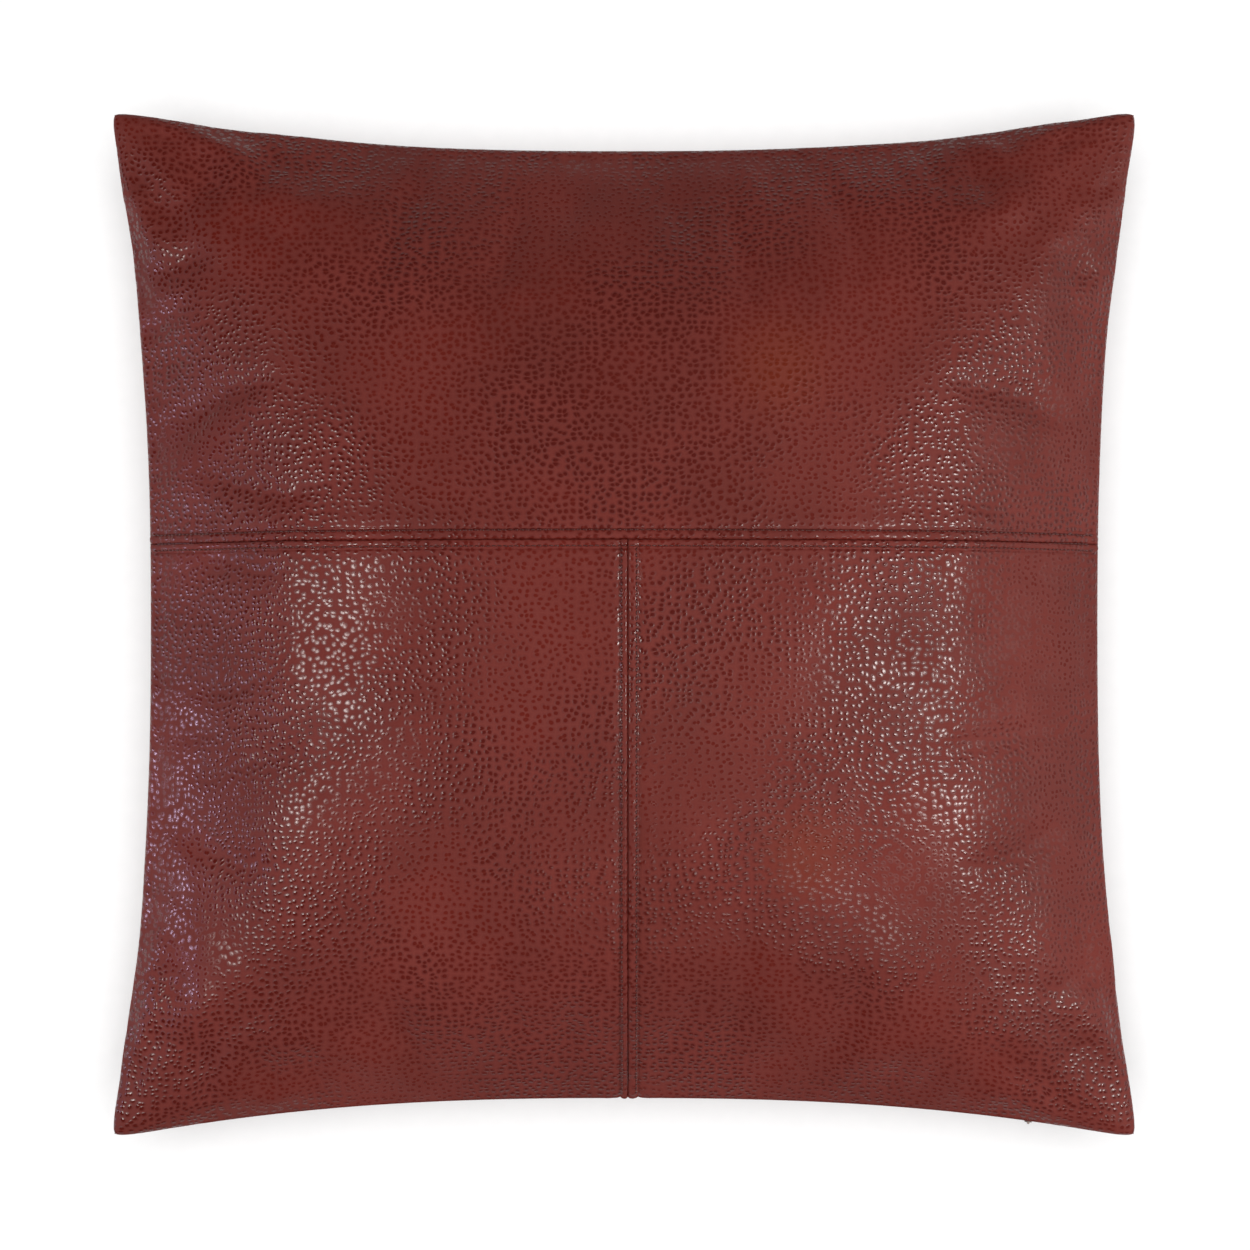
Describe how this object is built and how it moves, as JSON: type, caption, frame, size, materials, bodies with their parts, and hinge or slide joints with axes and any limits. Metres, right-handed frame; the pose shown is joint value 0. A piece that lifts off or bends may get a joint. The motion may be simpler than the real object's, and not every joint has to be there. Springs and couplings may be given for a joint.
{
  "type": "throw pillow",
  "caption": "Square filled throw pillow with a panelled, topstitched faux leather cover, a concealed zip in its lower edge and a removable insert.",
  "frame": {"origin": "under the middle of the pillow, on the surface that its back rests on", "axes": "+Z out of the face, +Y to the top edge, opposite the zip, and +X to the right as the face is looked at"},
  "size_m": [0.6, 0.6, 0.1703],
  "materials": {
    "cover_leather": "satin",
    "thread": "satin",
    "zip_tape": "matte",
    "zip_coil": "satin",
    "zip_metal": "gloss",
    "insert_cloth": "matte",
    "filling": "matte",
    "label_ribbon": "satin"
  },
  "bodies": {
    "cover": {"front_upper_panel": "cover_leather", "front_lower_left_panel": "cover_leather", "front_lower_right_panel": "cover_leather", "back_panel": "cover_leather", "cross_seam_topstitch_upper": "thread", "cross_seam_topstitch_lower": "thread", "cross_seam_thread": "thread", "centre_seam_topstitch_left": "thread", "centre_seam_topstitch_right": "thread", "centre_seam_thread": "thread", "edge_seam_thread": "thread", "zip_stitching_front": "thread", "zip_stitching_back": "thread", "zip_tape_front": "zip_tape", "zip_tape_back": "zip_tape", "zip_coil_front": "zip_coil", "zip_coil_back": "zip_coil", "zip_top_stops": "zip_metal", "zip_bottom_stop": "zip_metal", "insert_front_shell": "insert_cloth", "insert_back_shell": "insert_cloth", "insert_edge_thread": "insert_cloth", "insert_filling": "filling", "care_label": "label_ribbon", "insert_tag": "label_ribbon"},
    "zip_slider": {"zip_slider": "zip_metal"},
    "zip_pull": {"zip_pull": "zip_metal"}
  },
  "joints": [
    {"name": "slider_travel", "type": "hinge", "parent": "cover", "child": "zip_slider", "pos_m": [0, -2.5642, 0.085], "axis": [0, 0, 1], "range_deg": [0, 11.93]},
    {"name": "pull_swing", "type": "hinge", "parent": "zip_slider", "child": "zip_pull", "pos_m": [0.23741, -0.29207, 0.085], "axis": [-0.9946, 0.1039, 0], "range_deg": [0, 180]}
  ]
}
